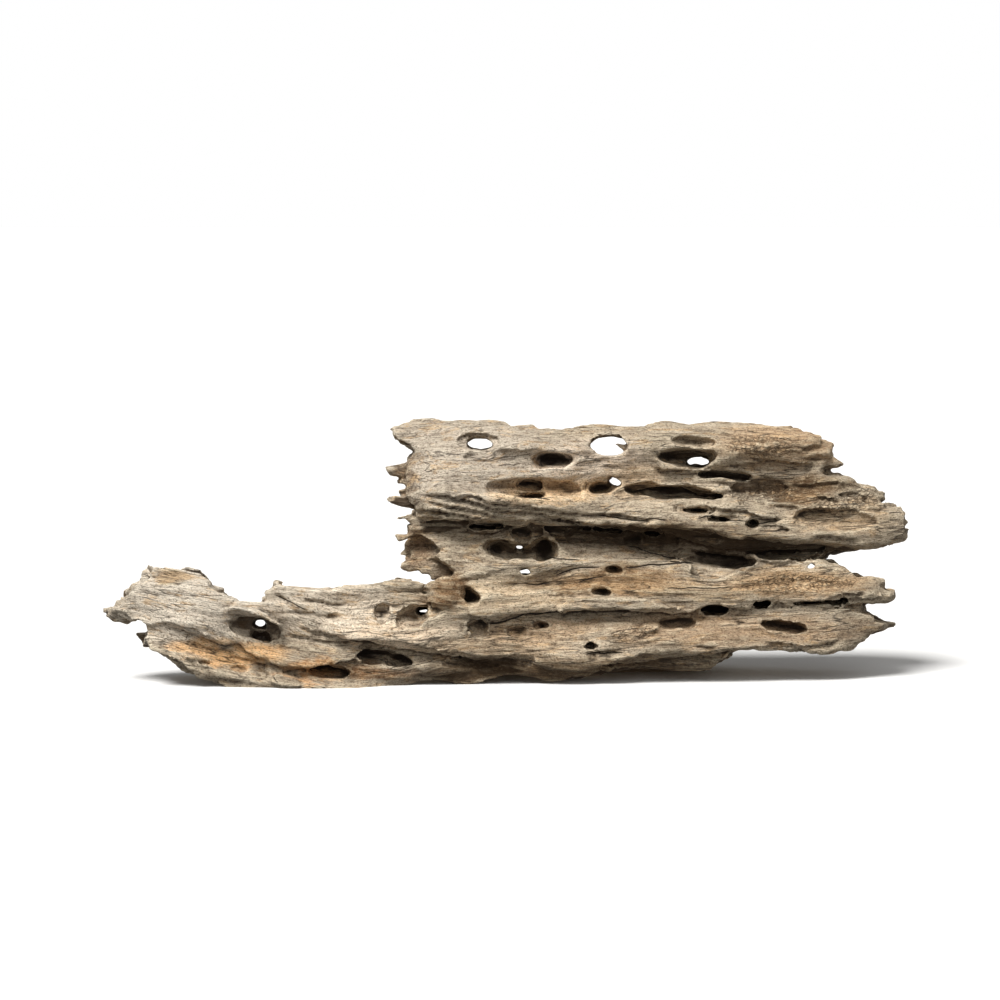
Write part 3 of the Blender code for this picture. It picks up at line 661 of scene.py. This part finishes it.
def furrow(item):
    """Wears finer layers and furrows along the grain on every side."""
    mesh = item.data
    points = points_of(mesh)
    normals = normals_of(mesh)
    side = smooth_step(1.6 * np.hypot(normals[:, 1], normals[:, 2]))
    across = grain_height(points)
    grain = np.stack([points[:, 0], points[:, 1], across], axis=1)
    bend = wave(grain, 90, 40, 26, 8)
    small_bend = wave(grain, 34, 18, 9, 9)
    leaf = np.clip(wave(grain, 80, 36, 14, 10) + 0.35, 0.0, 1.0)
    fine_leaf = np.clip(wave(grain, 44, 20, 8, 11) + 0.45, 0.0, 1.0)
    rough = 1.0 + 1.4 * (1.0 - smooth_step(-2.0 * normals[:, 1]))
    rough += 2.0 * within(TORN, points)
    calm = widened(HOLLOWS + WINDOWS, 1.3)
    rough *= 1.0 - 0.7 * smooth_step(2.0 * within(calm, points))
    push = LEAF * rough * leaf * (saw(across / LEAF_HEIGHT + 1.5 * bend + 0.3 * small_bend, 0.22) - 0.5)
    fine_steps = across / FINE_LEAF_HEIGHT + 2.2 * bend + 0.8 * small_bend
    push += FINE_LEAF * np.sqrt(rough) * fine_leaf * (saw(fine_steps, 0.4) - 0.5)
    push += 0.7 * rough * wave(grain, 60, 24, 7, 12) + 0.35 * wave(grain, 26, 10, 3, 13)
    push += 1.1 * wave(grain, 26, 18, 12, 23)
    furrowed = np.clip(wave(grain, 60, 30, 30, 17) + 0.6, 0.0, 1.0)
    push -= FURROW * crease(grain, 90, 30, 10, 14, 0.07) * furrowed
    push -= FINE_FURROW * crease(grain, 44, 16, 4.5, 18, 0.15)
    push *= 1.0 - 0.7 * smooth_step(2.0 * within(widened(WINDOWS, 1.5), points))
    push_out(mesh, side * push)


def sharpen(item):
    """Brings out every lip and crease, then adds fibres, and crumbs where the wood is corky."""
    mesh = item.data
    lift = np.clip(standing_proud(item, 4), -SHARP_LIMIT, SHARP_LIMIT)
    place = upright_place(points_of(mesh))
    fibres = FIBRE * wave(place, 16, 5, 1.7, 19)
    crumbs = CRUMB * within(CORKY, place) * wave(place, 3.6, 3.6, 2.4, 20)
    push_out(mesh, SHARPNESS * lift + fibres + crumbs)


def depth_share(x, z):
    """How much of their depth the boards keep: less towards the ends, the rim and the ground."""
    rim = 1.0 - RIM_TAPER * smooth_step((z - RIM_START) / RIM_HEIGHT)
    foot = 1.0 - FOOT_TAPER * smooth_step(1.0 - z / FOOT_HEIGHT)
    tooth_end = smooth_step((TOOTH_END - x) / TOOTH_LENGTH) * smooth_step((z - LEFT_CROTCH[1]) / 8.0)
    return np.interp(x, DEPTH_X, DEPTH_SHARE) * rim * foot * (1.0 - TOOTH_TAPER * tooth_end)


def lean(item):
    """Bends the boards to the plan of the piece, then lets the layers fan and dip towards the back."""
    mesh = item.data
    points = points_of(mesh)
    x, y, z = points.T
    both = wave(points * (1, 0, 1), 110, 1, 50, 5)
    each = wave(points, 80, 60, 34, 6)
    swollen = y * (1.0 + SWELL * each) + SWAY * both
    depth = swollen * depth_share(x, z) + np.interp(x, SPINE_X, SPINE_Y)
    back = (depth - FRONT_PLANE) * FAN
    held = smooth_step(z / 50.0)
    points = np.stack([x * (1 + back), depth, z - held * (DIP_HEIGHT - z) * back], axis=1)
    put_points(mesh, points)


def thin_out(item):
    fewer = item.modifiers.new("Fewer", "DECIMATE")
    fewer.ratio = FACES / sum(len(face.vertices) - 2 for face in item.data.polygons)
    return settle(item)


def drop_crumbs(item):
    """Keeps the largest body, without sealed bubbles and crumbs that are loose or only touch it."""
    shape = bmesh.new()
    shape.from_mesh(item.data)
    left = set(shape.faces)
    bodies = []
    while left:
        reached = [left.pop()]
        body = set(reached)
        while reached:
            face = reached.pop()
            shared = [edge.link_faces for edge in face.edges if len(edge.link_faces) == 2]
            near = {other for pair in shared for other in pair} & left
            left -= near
            body |= near
            reached.extend(near)
        bodies.append(body)
    bodies.sort(key=len)
    crumbs = [face for body in bodies[:-1] for face in body]
    bmesh.ops.delete(shape, geom=crumbs, context="FACES")
    shape.to_mesh(item.data)
    shape.free()


def parting_block(name, outline):
    """A deep block with the given outline; its edge along the fork dips to the back with the layers."""
    shape = bmesh.new()
    add_board(shape, -PARTING_REACH / 2, PARTING_REACH / 2, outline)
    for vert in shape.verts:
        if 0.0 < vert.co.z < PARTING_REACH / 2:
            vert.co.z -= FORK_DIP * (vert.co.y - FRONT_PLANE)
    return new_object(name, shape)


def fork_edge():
    """The parting line from left to right: over the arm, then through both crotches."""
    slope = (RIGHT_CROTCH[1] - LEFT_CROTCH[1]) / (RIGHT_CROTCH[0] - LEFT_CROTCH[0])
    far_right = (PARTING_REACH, LEFT_CROTCH[1] + slope * (PARTING_REACH - LEFT_CROTCH[0]))
    return [(ARM_END, PARTING_REACH), (ARM_END, NOTCH[1]), NOTCH, LEFT_CROTCH, far_right]


def part_off(wood, name, block):
    """The share of the wood inside the block, as its own named piece."""
    piece = add_to_scene(name, wood.data.copy())
    join(piece, block, "INTERSECT")
    drop_crumbs(piece)
    return piece


def upright_place(points):
    """Where points of the leaning wood lie in its front plane."""
    back = (points[:, 1] - FRONT_PLANE) * FAN
    held = smooth_step(points[:, 2] / 50.0)
    x = points[:, 0] / (1 + back)
    z = (points[:, 2] + held * DIP_HEIGHT * back) / (1 + held * back)
    return np.stack([x, points[:, 1], z], axis=1)


def standing_proud(item, rounds):
    """How far each point stands above the wood smoothed around it, in millimetres."""
    soften(item, rounds)
    mesh = modified_mesh(item)
    lift = points_of(item.data) - points_of(mesh)
    bpy.data.meshes.remove(mesh)
    return (lift * normals_of(item.data)).sum(axis=1)


def shelter(points, side):
    """How far each point lies behind the wood around it, from the front (side 1) or the back (side -1)."""
    depth = side * points[:, 1]
    place = (points[:, (0, 2)] - points[:, (0, 2)].min(axis=0)) / SHELTER_STEP
    cell = place.astype(int)
    face = np.full(cell.max(axis=0) + 2, depth.max())
    np.minimum.at(face, (cell[:, 0], cell[:, 1]), depth)
    for _ in range(SHELTER_REACH):
        edged = np.pad(face, 1, mode="edge")
        beside = np.minimum(edged[2:, 1:-1], edged[:-2, 1:-1])
        over = np.minimum(edged[1:-1, 2:], edged[1:-1, :-2])
        face = np.minimum(face, (face + np.minimum(beside, over)) / 2.0)
    along, up = (place - cell).T
    column, row = cell.T
    left = face[column, row] * (1.0 - up) + face[column, row + 1] * up
    right = face[column + 1, row] * (1.0 - up) + face[column + 1, row + 1] * up
    return depth - left * (1.0 - along) - right * along


def note(mesh, name, values):
    """Stores one number, or three, for each point of the mesh."""
    kind, key = ("FLOAT", "value") if values.ndim == 1 else ("FLOAT_VECTOR", "vector")
    mesh.attributes.new(name, kind, "POINT").data.foreach_set(key, values.astype(np.float32).ravel())


def crack_lines(place):
    """How far each point lies above its nearest crack line, the same without its sign, and the line's width;
    one line is the shadow under the long lip, which the finish paints.
    """
    x, z = place[:, 0], place[:, 2] + 0.8 * wave(place, 7, 9, 30, 24)
    nearest = np.tile((CRACK_LINE_REACH, CRACK_LINE_REACH, 0.0), (len(x), 1))
    for width, _, line in CRACKS_AND_SHADOW_LINE:
        crack, ends = follow(x, line, CRACK_LINE_FADE)
        off = np.stack([z - crack, np.abs(z - crack), ends * width], axis=1)
        nearer = (off[:, 1] < nearest[:, 1]) & (off[:, 2] > 0.0)
        nearest[nearer] = off[nearer]
    return nearest


def note_wear(item):
    """Stores what the finish needs: each point's place, the grain's, and how far it stands proud."""
    place = upright_place(points_of(item.data))
    grain = place.copy()
    grain[:, 2] = grain_height(place)
    normals = normals_of(item.data)
    # How far each point lies behind the wood around it, less on faces open above and at torn ends; the
    # finish darkens by it as painted shade.
    facing = 1.4 * normals[:, 1]
    sheltered = smooth_step(-facing) * shelter(place, 1.0) + smooth_step(facing) * shelter(place, -1.0)
    open_above = 0.7 * smooth_step(1.6 * normals[:, 2]) + 0.5 * within(TORN, place)
    sheltered *= np.clip(1.0 - open_above, 0.0, 1.0)
    proud = [standing_proud(item, rounds) for rounds in (RIDGE_ROUNDS, LUMP_ROUNDS, HOLLOW_ROUNDS)]
    for name, values in zip(NOTES, (place, grain, crack_lines(place), *proud, sheltered)):
        note(item.data, name, values)


def whole_wood():
    wood = laid_up_wood()
    join(wood, hollow_space(), "DIFFERENCE")
    weather(wood)
    add_splinters(wood)
    fuse(wood, FINE_STEP, rounds=1)
    carve(wood)
    furrow(wood)
    lean(wood)
    fuse(wood, FINE_STEP, rounds=0)
    sharpen(wood)
    drop_crumbs(wood)
    return thin_out(wood)


class Value:
    """A number or colour in a finish; arithmetic on it adds the nodes that work it out."""

    def __init__(self, finish, socket):
        self.finish = finish
        self.socket = socket

    def math(self, operation, *others):
        return self.finish.add("ShaderNodeMath", {"operation": operation}, self, *others)

    def __add__(self, other):
        return self.math("ADD", other)

    __radd__ = __add__

    def __sub__(self, other):
        return self.math("SUBTRACT", other)

    def __rsub__(self, other):
        return self.finish.add("ShaderNodeMath", {"operation": "SUBTRACT"}, other, self)

    def __mul__(self, other):
        return self.math("MULTIPLY", other)

    __rmul__ = __mul__

    def __truediv__(self, other):
        return self.math("DIVIDE", other)

    def __pow__(self, other):
        return self.math("POWER", other)

    def __neg__(self):
        return self.math("MULTIPLY", -1.0)

    def held(self, low=0.0, high=1.0):
        """The value between two bounds, eased from 0 to 1."""
        return self.finish.add("ShaderNodeMapRange", {"interpolation_type": "SMOOTHSTEP"}, self, low, high)


class Finish:
    """A procedural material with a Principled shader."""

    def __init__(self, name):
        self.material = bpy.data.materials.new(name)
        self.material.use_nodes = True
        self.tree = self.material.node_tree
        self.shader = self.tree.nodes["Principled BSDF"]

    def plug(self, socket, value):
        if isinstance(value, Value):
            self.tree.links.new(value.socket, socket)
        else:
            socket.default_value = value

    def shade(self, name, value):
        self.plug(self.shader.inputs[name], value)

    def node(self, kind, settings=None, *values, **named):
        node = self.tree.nodes.new(kind)
        for setting, value in (settings or {}).items():
            setattr(node, setting, value)
        for socket, value in zip(node.inputs, values):
            self.plug(socket, value)
        for name, value in named.items():
            self.plug(node.inputs[name.replace("_", " ")], value)
        return node

    def add(self, kind, settings=None, *values, **named):
        return Value(self, self.node(kind, settings, *values, **named).outputs[0])

    def note(self, name, output="Fac"):
        """A number, or three, that is stored on the piece."""
        node = self.node("ShaderNodeAttribute", {"attribute_name": name})
        return Value(self, node.outputs[output])

    def stretched(self, place, cell):
        """A place drawn out along the grain: one cell of a pattern is this long, deep and high."""
        return self.add("ShaderNodeVectorMath", {"operation": "DIVIDE"}, place, cell)

    def speckle(self, place, cell, detail=2.0, roughness=0.5, distortion=0.0, output="Fac"):
        """Noise from 0 to 1. Its output Color is three noises at once."""
        node = self.node("ShaderNodeTexNoise", Vector=self.stretched(place, cell), Scale=1.0, Detail=detail,
                         Roughness=roughness, Distortion=distortion)
        return Value(self, node.outputs[output])

    def cells(self, place):
        """How far each point lies from the edge of its cell."""
        return self.add("ShaderNodeTexVoronoi", {"feature": "DISTANCE_TO_EDGE"}, Vector=place, Scale=1.0)

    def blend(self, share, under, over, kind="MIX"):
        """Lays one colour over another by a share from 0 to 1."""
        node = self.node("ShaderNodeMix", {"data_type": "RGBA", "blend_type": kind})
        for name, value in (("Factor_Float", share), ("A_Color", under), ("B_Color", over)):
            self.plug(next(item for item in node.inputs if item.identifier == name), value)
        made = next(item for item in node.outputs if item.identifier == "Result_Color")
        return Value(self, made)

    def parts(self, place):
        """The three numbers of a place."""
        node = self.node("ShaderNodeSeparateXYZ", None, place)
        return [Value(self, socket) for socket in node.outputs]


# How deep the finish's relief is, in metres.
BUMP_HEIGHT = 0.0014

# Colours of the bare wood and of its painted highlight and shade, as linear red, green, blue and alpha.
WEATHERED = (0.44, 0.35, 0.245, 1.0)
SILVERY = (0.66, 0.565, 0.43, 1.0)
# Also the painted highlight on the ridges.
PALE_TONE_AND_HIGHLIGHT = (0.36, 0.285, 0.18, 1.0)
FRESH = (0.70, 0.46, 0.24, 1.0)
# Also painted shade in creases, dips, recesses and the shade patches.
DARK_TONE_AND_SHADE = (0.060, 0.036, 0.018, 1.0)
# Painted shade in hollows and cracks, and the dark of fine checks.
CHECK_BLACK_AND_SHADE = (0.018, 0.012, 0.008, 1.0)

# Stains that can be told apart, and dark patches of painted shade in the recess under the crown's lip, along
# the base and in the caves at the crown's left end: centre, half length, half height, strength and colour
# without alpha.
STAINS_AND_SHADE_PATCHES = [
    (-195, 58, 90, 44, 0.9, (0.76, 0.66, 0.53)), (-30, 142, 90, 36, 0.9, (0.56, 0.475, 0.375)),
    (60, 142, 44, 18, 0.85, (0.82, 0.66, 0.50)), (-108, 46, 60, 24, 0.85, (0.88, 0.74, 0.57)),
    (-66, 32, 48, 8, 0.8, (0.96, 0.74, 0.52)), (0, 54, 64, 15, 0.9, (0.72, 0.55, 0.36)),
    (72, 64, 62, 12, 0.9, (0.31, 0.175, 0.075)), (130, 58, 50, 10, 0.6, (0.50, 0.35, 0.20)),
    (182, 152, 60, 18, 0.95, (0.50, 0.33, 0.19)), (190, 64, 52, 14, 0.9, (0.66, 0.41, 0.21)),
    (220, 106, 46, 16, 0.8, (0.58, 0.42, 0.26)), (190, 123, 34, 12, 1.0, (0.14, 0.08, 0.038)),
    (130, 34, 80, 16, 0.8, (0.44, 0.29, 0.17)), (200, 34, 44, 12, 0.7, (0.33, 0.21, 0.12)),
    (30, 122, 46, 10, 0.9, (0.90, 0.62, 0.36)), (84, 128, 30, 12, 0.7, (0.70, 0.50, 0.31)),
    # Painted shade: the dark patches at (100, 94) in the recess, at (60, 6), (-2, 8) and (-80, 9) along the
    # base, and at (-56, 86) and (-62, 131) in the caves.
    (100, 94, 110, 11, 0.8, (0.14, 0.09, 0.05)), (60, 6, 130, 16, 0.9, (0.17, 0.10, 0.045)),
    (-2, 8, 54, 11, 0.95, (0.055, 0.026, 0.007)), (-36, 57, 18, 14, 1.0, (0.27, 0.15, 0.07)),
    (-56, 86, 16, 18, 0.85, (0.22, 0.13, 0.07)), (-194, 24, 24, 7, 0.95, (0.84, 0.50, 0.24)),
    (-166, 18, 30, 9, 1.0, (0.98, 0.57, 0.26)), (-126, 8, 30, 8, 1.0, (0.68, 0.34, 0.13)),
    (-80, 9, 36, 8, 0.95, (0.26, 0.13, 0.055)), (-62, 131, 12, 18, 0.85, (0.20, 0.135, 0.085)),
    (0, 24, 60, 9, 0.5, (0.52, 0.34, 0.19)), (-206, 70, 16, 7, 0.8, (0.50, 0.33, 0.17)),
    (22, 34, 46, 9, 0.7, (0.80, 0.54, 0.32)),
]

# Painted shade: dark patches along the base and in the recesses under the crown's lip: centre, half length,
# half height and strength.
PAINTED_SHADE_PATCHES = [(-8, 8, 70, 12, 0.6), (70, 11, 70, 9, 0.35), (72, 90, 60, 9, 0.35), (150, 80, 46, 9, 0.5)]


def patch(x, z, oval):
    """1 in the middle of an oval, falling to 0 at its rim."""
    middle_x, middle_z, half_long, half_high = oval
    reach = ((x - middle_x) / half_long) ** 2 + ((z - middle_z) / half_high) ** 2
    return 1.0 - reach.held(0.1, 1.0)


def crack_and_shadow_line_share(finish):
    """1 along the drying cracks and the shadow line under the long lip, which the finish paints as shade."""
    above, off, width = finish.parts(finish.note("crack", "Vector"))
    cracks_and_shadow_line = 1.0 - (above.math("ABSOLUTE") - width * 0.26).held(-0.1, 0.3)
    return cracks_and_shadow_line * width.held(0.05, 0.4) * (1.0 - off.held(1.0, 1.8))


def crumbled_share(finish, grain, x, z):
    """1 between the crumbs of the corky patches."""
    corky = patch(x, z, CORKY[0])
    for oval in CORKY[1:]:
        corky = corky.math("MAXIMUM", patch(x, z, oval))
    bend = finish.speckle(grain, (2.6, 2.6, 1.6), 3.0, output="Color")
    place = finish.stretched(grain, (3.2, 3.2, 1.9))
    bent = finish.add("ShaderNodeVectorMath", {"operation": "ADD"}, place, bend)
    return (1.0 - finish.cells(bent).held(0.0, 0.2)) * corky.held(0.1, 0.7)


def weathered_wood(name):
    """Bare driftwood, stained in broad patches, with painted highlight on its ridges and painted shade in
    its creases, dips, recesses, cracks and hollows.
    """
    finish = Finish(name)
    grain = finish.note("grain", "Vector")
    ridge, lump, hollow, shelter = [finish.note(kind) for kind in ("ridge", "lump", "hollow", "shelter")]
    x, _, z = finish.parts(finish.note("place", "Vector"))

    clouds = finish.speckle(grain, (46, 36, 18), 4.0, 0.6)
    blotches = finish.speckle(grain, (13, 8, 5.5), 4.0, 0.65)
    streaks = finish.speckle(grain, (20, 5, 1.9), 4.0, 0.7, 0.4)
    fibres = finish.speckle(grain, (6, 1.4, 0.55), 3.0, 0.7)
    specks = finish.speckle(grain, (1.4, 1.1, 0.8), 3.0, 0.7)
    checks = finish.speckle(grain, (44, 16, 5))
    hairlines = (1.0 - (checks - 0.5).math("ABSOLUTE").held(0.0, 0.03)) * clouds.held(0.42, 0.6)

    bent_x = x + (clouds - 0.5) * 60.0
    bent_z = z + (clouds - 0.5) * 24.0 + (blotches - 0.5) * 10.0
    cracks_and_shadow_line = crack_and_shadow_line_share(finish)
    crumbled = crumbled_share(finish, grain, bent_x, bent_z) * blotches.held(0.3, 0.55)

    # Each layer's share and tint, the first one first: stains and painted shade patches, tones and grain,
    # then painted highlight and painted shade. The pale tint only lightens.
    layers = [(patch(bent_x, bent_z, oval) * strength, (*patch_colour, 1.0)) for *oval, strength, patch_colour in STAINS_AND_SHADE_PATCHES]
    layers += [
        (blotches.held(0.5, 0.62) * streaks.held(0.42, 0.58) * 0.7, FRESH),
        ((1.0 - blotches.held(0.3, 0.5)) * 0.6, PALE_TONE_AND_HIGHLIGHT),
        ((1.0 - clouds.held(0.3, 0.52)) * 0.35, DARK_TONE_AND_SHADE),
        # Painted highlight: lighter on the ridges.
        (ridge.held(0.0, 0.3) * 0.7, PALE_TONE_AND_HIGHLIGHT),
        (streaks.held(0.5, 0.68) * 0.55, DARK_TONE_AND_SHADE),
        (fibres.held(0.5, 0.68) * 0.6, DARK_TONE_AND_SHADE),
        (specks.held(0.52, 0.66) * 0.75, DARK_TONE_AND_SHADE),
        ((1.0 - specks.held(0.32, 0.47)) * 0.6, PALE_TONE_AND_HIGHLIGHT),
        # Painted shade: darker in the creases.
        ((-ridge).held(0.05, 0.5) * 0.85, DARK_TONE_AND_SHADE),
    ]
    # Painted shade patches.
    layers += [(patch(bent_x, bent_z, oval) * strength, DARK_TONE_AND_SHADE) for *oval, strength in PAINTED_SHADE_PATCHES]
    layers += [
        # Painted shade: darker in dips, deep behind the wood around, and in hollows.
        ((-lump).held(0.8, 4.5) * 0.55, DARK_TONE_AND_SHADE),
        (shelter.held(7.0, 22.0) * 0.85, DARK_TONE_AND_SHADE),
        ((-hollow).held(2.9, 7.0) * 0.92, CHECK_BLACK_AND_SHADE),
        # The wood's own dark fine checks and corky crumbs.
        (hairlines * 0.75, CHECK_BLACK_AND_SHADE),
        (crumbled * 0.6, DARK_TONE_AND_SHADE),
        # Painted shade in the cracks and the painted shadow line under the long lip.
        (cracks_and_shadow_line * 0.95, CHECK_BLACK_AND_SHADE),
    ]
    colour = finish.blend(blotches.held(0.35, 0.7) * 0.5, WEATHERED, SILVERY)
    for share, tint in layers:
        colour = finish.blend(share, colour, tint, "SCREEN" if tint is PALE_TONE_AND_HIGHLIGHT else "MIX")
    finish.shade("Base Color", colour)

    finish.shade("Roughness", 0.74 + fibres * 0.18 - ridge.held(0.0, 0.4) * 0.06)
    relief = fibres * -0.8 - streaks * 0.9 - specks * 0.9 - blotches * 0.3
    relief = relief - hairlines * 0.5 - cracks_and_shadow_line - crumbled * 0.8
    finish.shade("Normal", finish.add("ShaderNodeBump", Height=relief, Distance=BUMP_HEIGHT, Strength=1.0))
    finish.shade("Specular IOR Level", 0.22)
    return finish.material


def read_note(mesh, name):
    field = mesh.attributes[name]
    if field.data_type == "FLOAT_VECTOR":
        return read_rows(field.data, "vector")
    return read_rows(field.data, "value", 1)[:, 0]


def copy_notes(wood, piece):
    """Gives every point of a parted piece the notes of the nearest point of the whole wood."""
    places = points_of(wood.data)
    tree = kdtree.KDTree(len(places))
    for number, place in enumerate(places):
        tree.insert(place, number)
    tree.balance()
    nearest = np.array([tree.find(place)[1] for place in points_of(piece.data)])
    for name in NOTES:
        if name in piece.data.attributes:
            piece.data.attributes.remove(piece.data.attributes[name])
        note(piece.data, name, read_note(wood.data, name)[nearest])


def fit_to_frame(pieces):
    """Brings the pieces, together and in metres, just inside the frame's box and down onto its floor."""
    places = [points_of(piece.data) for piece in pieces]
    every = np.concatenate(places)
    low, high = np.array(frame_box[0]) + FIT_GAP, np.array(frame_box[1]) - FIT_GAP
    low[2] = frame_box[0][2]
    for piece, points in zip(pieces, places):
        share = (points - every.min(axis=0)) / np.ptp(every, axis=0)
        put_points(piece.data, low + share * (high - low))


def make_pieces():
    """The limb and the crown, parted at the fork and cut off flat at the ground."""
    wood = whole_wood()
    note_wear(wood)
    ground = [(PARTING_REACH, 0.0), (-PARTING_REACH, 0.0), (-PARTING_REACH, PARTING_REACH)]
    sky = [(PARTING_REACH, PARTING_REACH)]
    limb = part_off(wood, "long_limb_wood", parting_block("under_fork", fork_edge() + ground))
    crown = part_off(wood, "tall_crown_wood", parting_block("over_fork", fork_edge() + sky))
    copy_notes(wood, limb)
    copy_notes(wood, crown)
    bpy.data.objects.remove(wood, do_unlink=True)
    fit_to_frame([limb, crown])
    return limb, crown


def dress(piece, finish):
    piece.data.materials.clear()
    piece.data.materials.append(finish)
    piece.data.shade_smooth()
    piece.data.set_sharp_from_angle(angle=math.radians(CREASE_ANGLE))


def lay_floor():
    """A wide pale floor at the frame's lowest point. It throws no light back onto the wood."""
    shape = bmesh.new()
    bmesh.ops.create_circle(shape, cap_ends=True, segments=64, radius=FLOOR_RADIUS)
    floor = new_object("pale_floor", shape)
    floor.location.z = frame_box[0][2]
    finish = Finish("pale_floor")
    finish.shade("Base Color", FLOOR_COLOUR)
    finish.shade("Roughness", 0.9)
    floor.data.materials.append(finish.material)
    floor.visible_diffuse = False


def soft_light(name, spread, strength, to_front, to_right):
    light = bpy.data.lights.new(name, "SUN")
    light.angle = math.radians(spread)
    light.energy = strength
    lamp = add_to_scene(name, light)
    lamp.rotation_euler = (math.radians(to_front), math.radians(to_right), 0.0)


def light_studio():
    """A broad soft light above the front, a weaker one from the front, and an even white surround."""
    soft_light("overhead", *KEY_LIGHT)
    soft_light("front_fill", *FILL_LIGHT)
    world = bpy.data.worlds.new("studio")
    world.use_nodes = True
    nodes, links = world.node_tree.nodes, world.node_tree.links
    backdrop = nodes["Background"]
    backdrop.inputs["Color"].default_value = (1.0, 1.0, 1.0, 1.0)
    seen = nodes.new("ShaderNodeLightPath")
    strength = nodes.new("ShaderNodeMapRange")
    strength.inputs["To Min"].default_value = SURROUND_STRENGTH
    strength.inputs["To Max"].default_value = BACKDROP_STRENGTH
    links.new(seen.outputs["Is Camera Ray"], strength.inputs["Value"])
    links.new(strength.outputs["Result"], backdrop.inputs["Strength"])
    bpy.context.scene.world = world


def set_camera():
    camera = bpy.data.cameras.new("camera")
    camera.sensor_width = CAMERA_SENSOR
    camera.lens = CAMERA_LENS
    eye = add_to_scene("camera", camera)
    eye.location = CAMERA_PLACE
    eye.rotation_euler = (math.radians(CAMERA_TILT), 0.0, 0.0)
    bpy.context.scene.camera = eye


def stage():
    lay_floor()
    light_studio()
    set_camera()
    bpy.context.scene.view_settings.view_transform = "Standard"


def main():
    limb, crown = make_pieces()
    for piece, node, slot in ((limb, "long_limb", "limb_wood"), (crown, "tall_crown", "crown_wood")):
        dress(piece, weathered_wood(slot))
        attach(piece, "root")
        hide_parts(node)
    stage()


main()
